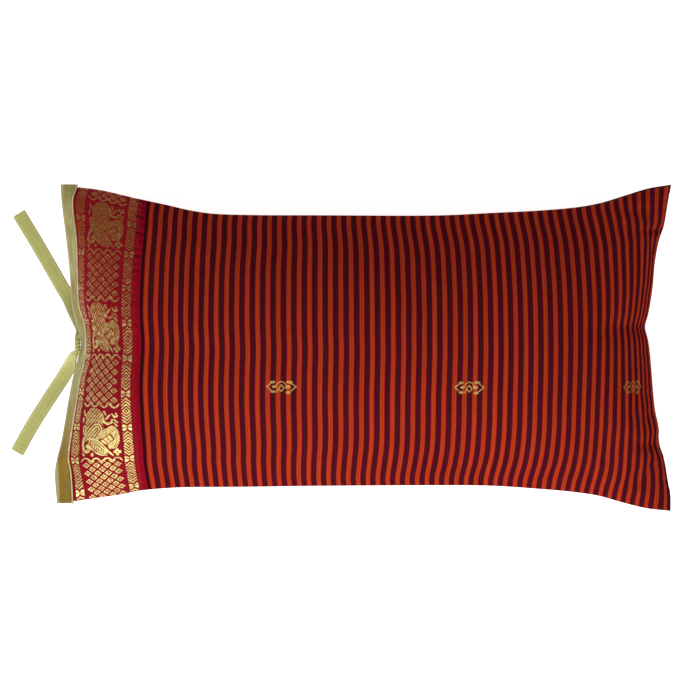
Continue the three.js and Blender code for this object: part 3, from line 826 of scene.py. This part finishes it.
def zariBird(finish, place, x, y):
    # a stylised bird: comma body with a barred patch, pointed wing, curled head, fan tail
    body = finish.within(place, (10.1, -1.2), (6.3, 10.4)) | finish.stroke(place, [(5.5, 3.0, 3.6), (-6.0, -3.6, 1.0)])
    body = body | finish.stroke(place, [(12, -9.6, 2.2), (5.6, -11.2, 1.3)])
    along = x * .82 + y * .57 - 2.32
    aside = y * .82 - x * .57 + 6.11
    patchEdge = (abs(along) < 5.9) & (abs(aside) < 3.3)
    bars = (abs(along) < 5.2) & (abs(aside) < 2.5) & finish.stripes(along, 3.47, .76, 5.0)
    dots = finish.stripes(x + y * .5, 2.0, .5) & finish.stripes(y - x * .5, 2.0, .5)
    figure = (body & (1 - patchEdge) & (1 - dots)) | bars
    # wing: a leaf of nested outlines with small bars inside
    run = (x + 11.6) * .79 - (y + 5.4) * .61
    off = (x + 11.6) * .61 + (y + 5.4) * .79
    share = finish.between(run / 20.4, 0, 1)
    half = (share * (1 - share) * 4).to("POWER", .62) * 4.5 + .01
    leaf = abs(off) / half
    inLeaf = (leaf < 1) & (run > 0) & (run < 20.4)
    outline = (leaf > .66) | ((leaf < .44) & (1 - (finish.stripes(run + off * .6, 2.3, .42) & (leaf < .24))))
    band = finish.stroke(place, [(-10.8, -3.4, 1.3), (-4.2, -4.7, 1.5), (1.0, -8.6, 1.4), (5.0, -14.0, 1.0),
                                 (9.4, -19.0, .5)])
    wingEdge = (leaf < 1.16) & (run > -.6) & (run < 20.6)
    figure = figure & (1 - finish.stroke(place, [(-8.5, -3.0, 1.9), (1.6, -8.4, 2.2), (6.0, -14.0, 1.8)]))
    figure = (figure | band) & (1 - wingEdge)
    figure = figure | (inLeaf & outline)
    # head: a curl round a small gap, hung from the neck
    fromHead = finish.vectors("DISTANCE", place, (-13.6, -12.2, 0), output=1)
    head = (fromHead < 4.1) & (fromHead > 1.15)
    head = head | finish.stroke(place, [(-13.4, .4, .8), (-16.0, -4.0, 1.0), (-16.9, -10.6, 1.0)])
    hook = finish.stroke(place, [(-11.6, -5.0, .8), (-14.6, -8.4, 1.0), (-14.6, -11.4, .8)])
    figure = (figure | head) & (1 - hook)
    # tail: slanting strokes under a dome, feathers nested below them
    dome = finish.within(place, (-5.0, 15.2), (8.9, 9.0)) & (y > 9.0)
    neck = finish.stroke(place, [(-9.4, 11.0, 4.6), (-12.4, 3.0, 2.6), (-13.8, -4.4, 1.5)])
    slant = y * .66 - x * .75
    strokes = (dome | neck) & finish.stripes(slant, 2.1, .60)
    featherRun = x * .66 + y * .75 - 2.4
    featherOff = y * .66 - x * .75 - 6.2
    nest = finish.vectors("LENGTH", finish.pair(featherOff, featherRun | 0), output=1)
    inNest = (nest < 6.0) & (featherRun > -12.0)
    feathers = inNest & finish.stripes(nest, 2.25, .62, .9)
    figure = figure | (strokes & (1 - inNest)) | (feathers & (1 - body) & (1 - (leaf < 1.3)))
    figure = figure | finish.stroke(place, [(2.6, 17.6, .9), (3.4, 12.4, 1.0), (6.6, 10.9, 1.0), (10.2, 12.2, .9),
                                            (10.6, 14.6, .7)])
    # small leaves, hooks and dashes round it
    oval = finish.within(place, (-14.9, 4.2), (1.8, 4.6)) & (1 - finish.within(place, (-14.9, 4.2), (.6, 2.6)))
    figure = figure | oval | finish.stroke(place, [(5.6, 15.4, .9), (8.8, 18.8, .6)])
    figure = figure | finish.stroke(place, [(4.0, 21.4, .9), (5.4, 18.6, .5)])
    figure = figure | finish.stroke(place, [(10.6, 19.8, .6), (13.0, 16.9, .7), (15.2, 17.8, .7), (14.2, 20.6, .6)])
    figure = figure | finish.stroke(place, [(12.6, 14.6, .7), (15.2, 12.4, .7)])
    figure = figure | finish.stroke(place, [(12.4, 11.6, .7), (14.6, 9.2, .7)])
    figure = figure | finish.stroke(place, [(-16.6, 21.4, .6), (-15.2, 18.0, .8), (-13.4, 16.2, .5)])
    figure = figure | finish.stroke(place, [(-16.4, 15.0, .7), (-16.8, 11.2, .6)])
    for dx, dy in ((2.1, 0), (-2.1, 0), (0, 2.1), (0, -2.1)):
        figure = figure | finish.within(place, (13.3 + dx, -15.4 + dy), (1.45, 1.45))
    figure = figure | finish.stroke(place, [(-17.0, -16.8, .6), (-15.8, -18.4, .7)])
    figure = figure | finish.within(place, (-8.4, -17.6), (1.2, 1.5))
    return figure


def borderCloth():
    finish = Finish("sari_border", {"Specular IOR Level": .05})
    u, v = finish.cloth()
    size = sari["thread"]
    x = ((u / size).to("FLOOR") + .5) * size
    y = ((v / size).to("FLOOR") + .5) * size
    gold = zariBand(finish, x, y, *sari["edgeBand"]) | zariBand(finish, x, y, *sari["innerBand"])
    low, high = sari["panel"]
    inPanel = (x > low) & (x < high)
    across = x - (low + high) / 2
    upLattice = (((y - sari["latticeCentre"]) / sari["repeat"] + .5).to("FRACT") - .5) * sari["repeat"]
    gold = gold | (zariLattice(finish, across, upLattice) & inPanel & (abs(upLattice) < 25.6))
    upBird = (((y - sari["birdCentre"]) / sari["repeat"] + .5).to("FRACT") - .5) * sari["repeat"]
    acrossBird = (across - sari["birdShift"][0]) / sari["birdStretch"]
    upBird = (upBird - sari["birdShift"][1]) / sari["birdStretch"]
    figure = zariBird(finish, finish.pair(acrossBird, upBird), acrossBird, upBird)
    gold = gold | (figure & inPanel & (abs(upLattice) > 25.0))
    tone, relief = threads(finish, u, v)
    # gold dulled in random patches, and more and more towards the top as painted shade
    patch = finish.noise(finish.pair(u * .25, v * .25), 1.0, 2)
    dullPatchesAndShade = finish.between(patch, .35, .7, 0, .7) + finish.between(v, 60, 285, 0, .95)
    zari = finish.blend(dullPatchesAndShade.to("MINIMUM", 1), sari["gold"], sari["dullAndShadedGold"])
    colour = finish.blend(gold, sari["ground"], zari)
    finish.feed("Base Color", shaded(finish, colour, tone))
    finish.feed("Metallic", gold * .7)
    finish.feed("Roughness", .62 - gold * .22)
    finish.feed("Normal", finish.bump(relief * .4 + tone, 8e-5, gold * .6 + .4))
    return finish.material


def facingCloth():
    # silk strip: gold brown at the bottom and paler above as painted sheen, a darker stretch of painted fold shade,
    # slubs along it, and a painted highlight on the rim at its fold
    finish = Finish("facing_silk", {"Roughness": .5, "Specular IOR Level": .2})
    u, v = finish.cloth()
    slub = finish.noise(finish.pair(u * 1.1, v * .09), 1.0, 3, .62)
    broad = finish.noise(finish.pair(u * .12, v * .05, 3), 1.0, 2)
    # colour along the opening: the paler stretches above the bottom are painted sheen, the darker stretch from .58 to
    # .68 is painted shade in a fold
    colour = finish.ramp(v / 296, [
        (0, tint(137, 107, 24)), (.15, tint(137, 107, 24)), (.27, tint(147, 122, 44)), (.36, tint(160, 150, 94)),
        (.44, tint(158, 148, 96)), (.52, tint(152, 142, 86)), (.58, tint(130, 110, 38)), (.68, tint(134, 114, 44)),
        (.75, tint(168, 160, 108)), (.82, tint(160, 150, 90)), (1, tint(152, 140, 78))])
    # pale slubs of the silk, drawn stronger higher up as painted sheen
    pale = finish.between(slub, .38, .72) * finish.between(v, 40, 110, .03, .5)
    colour = finish.blend(pale, colour, tint(198, 190, 134))
    colour = finish.blend(finish.between(broad, .45, .7, 0, .5), colour, tint(120, 96, 36))
    # painted highlight along the rim at the fold
    foldHighlight = finish.between(u + slub * 1.2, 13.4, 14.4)
    colour = finish.blend(foldHighlight * .6, colour, tint(186, 182, 134))
    colour = finish.blend((abs(v - 2) < .35) * .5, colour, tint(104, 84, 34))
    tone, relief = threads(finish, u, v)
    finish.feed("Base Color", shaded(finish, colour, tone))
    finish.feed("Normal", finish.bump(relief * .3 + slub * 2.2, 9e-5))
    return finish.material


def ribbonCloth():
    # satin ribbon: a darker selvedge at one side and a dark brown line of painted shade along the other, each with a
    # pale line inside, fine streaks along it, a hem at the free end
    finish = Finish("ribbon_silk", {"Roughness": .46, "Specular IOR Level": .3})
    u, v = finish.cloth()
    streak = finish.noise(finish.pair(u * 1.3, v * .04), 1.0, 3, .6)
    cross = finish.noise(finish.pair(u * .1, v * 1.6, 5), 1.0, 2)
    # the dark brown at the far edge is painted shade along the ribbon's side
    colour = finish.ramp(u / 13.2, [
        (0, tint(132, 128, 62)), (.035, tint(132, 128, 62)), (.07, tint(204, 202, 128)), (.14, tint(200, 198, 124)),
        (.19, tint(178, 178, 104)), (.84, tint(176, 176, 102)), (.89, tint(202, 200, 124)), (.93, tint(188, 184, 108)),
        (.965, tint(108, 84, 46)), (1, tint(96, 74, 42))])
    colour = finish.blend(finish.between(streak, .4, .7, 0, .35), colour, tint(204, 206, 140))
    colour = finish.blend(finish.between(cross, .45, .7, 0, .25), colour, tint(152, 150, 82))
    hem = (abs(v - 9) < .35) | (v < .5)
    colour = finish.blend(hem * .45, colour, tint(120, 112, 54))
    tone, relief = threads(finish, u, v)
    finish.feed("Base Color", shaded(finish, colour, tone))
    finish.feed("Normal", finish.bump(relief * .3 + streak * 1.5 + cross * .6, 6e-5))
    return finish.material


def pipingCloth():
    # pale cord wound with thread
    finish = Finish("piping_silk", {"Roughness": .55, "Specular IOR Level": .2})
    u, v = finish.cloth()
    wound = ((v * 5.2 + u * 1.4) * 1.0).to("SINE")
    patch = finish.noise(finish.pair(u, v * .12), 1.0, 3)
    colour = finish.blend(finish.between(patch, .35, .7), tint(196, 188, 132), tint(236, 228, 182))
    colour = shaded(finish, colour, wound * .12 + .9)
    finish.feed("Base Color", colour)
    finish.feed("Normal", finish.bump(wound, 6e-5))
    return finish.material


pillow.data.materials.clear()
pillow.data.materials.append(stripedCloth())
pillow.data.materials.append(borderCloth())
layer = pillow.data.uv_layers["cloth"].data
for face in pillow.data.polygons:
    middle = sum(layer[corner].uv[0] for corner in face.loop_indices) / len(face.loop_indices)
    face.material_index = 1 if middle < .0655 else 0
onlySelect(pillow)
bpy.ops.object.shade_smooth()
for pieces, finish in (((facingFront, facingBack), facingCloth()), ((pipingCord,), pipingCloth()), (ties, ribbonCloth())):
    for piece in pieces:
        piece.data.materials.append(finish)
        onlySelect(piece)
        bpy.ops.object.shade_smooth_by_angle(angle=math.radians(50))
print("finishes made")


# camera, floor, light
view = {"place": (-.0224, -.0019, 1.595), "lens": 85, "sensor": 36}
bpy.ops.object.camera_add(location=view["place"], rotation=(0, 0, 0))
camera = bpy.context.object
camera.data.lens, camera.data.sensor_width = view["lens"], view["sensor"]
bpy.context.scene.camera = camera
bpy.context.scene.view_settings.view_transform = "Standard"

bpy.ops.mesh.primitive_plane_add(size=8)
floor = bpy.context.object
floor.name = "floor"
paper = bpy.data.materials.new("pale_paper")
paper.use_nodes = True
paper.node_tree.nodes["Principled BSDF"].inputs["Base Color"].default_value = (.93, .93, .93, 1)
paper.node_tree.nodes["Principled BSDF"].inputs["Emission Color"].default_value = (1, 1, 1, 1)
paper.node_tree.nodes["Principled BSDF"].inputs["Emission Strength"].default_value = .75
floor.data.materials.append(paper)

light = {"place": (-.35, -1.2, 1.4), "size": (1.3, .9), "power": 28.5, "sky": .40}
bpy.ops.object.light_add(type="AREA", location=light["place"])
key = bpy.context.object
key.data.shape = "RECTANGLE"
key.data.size, key.data.size_y = light["size"]
key.data.energy = light["power"]
key.rotation_euler = (-key.location).to_track_quat("-Z", "Y").to_euler()
world = bpy.data.worlds.new("studio")
world.use_nodes = True
world.node_tree.nodes["Background"].inputs["Color"].default_value = (1, 1, 1, 1)
world.node_tree.nodes["Background"].inputs["Strength"].default_value = light["sky"]
bpy.context.scene.world = world
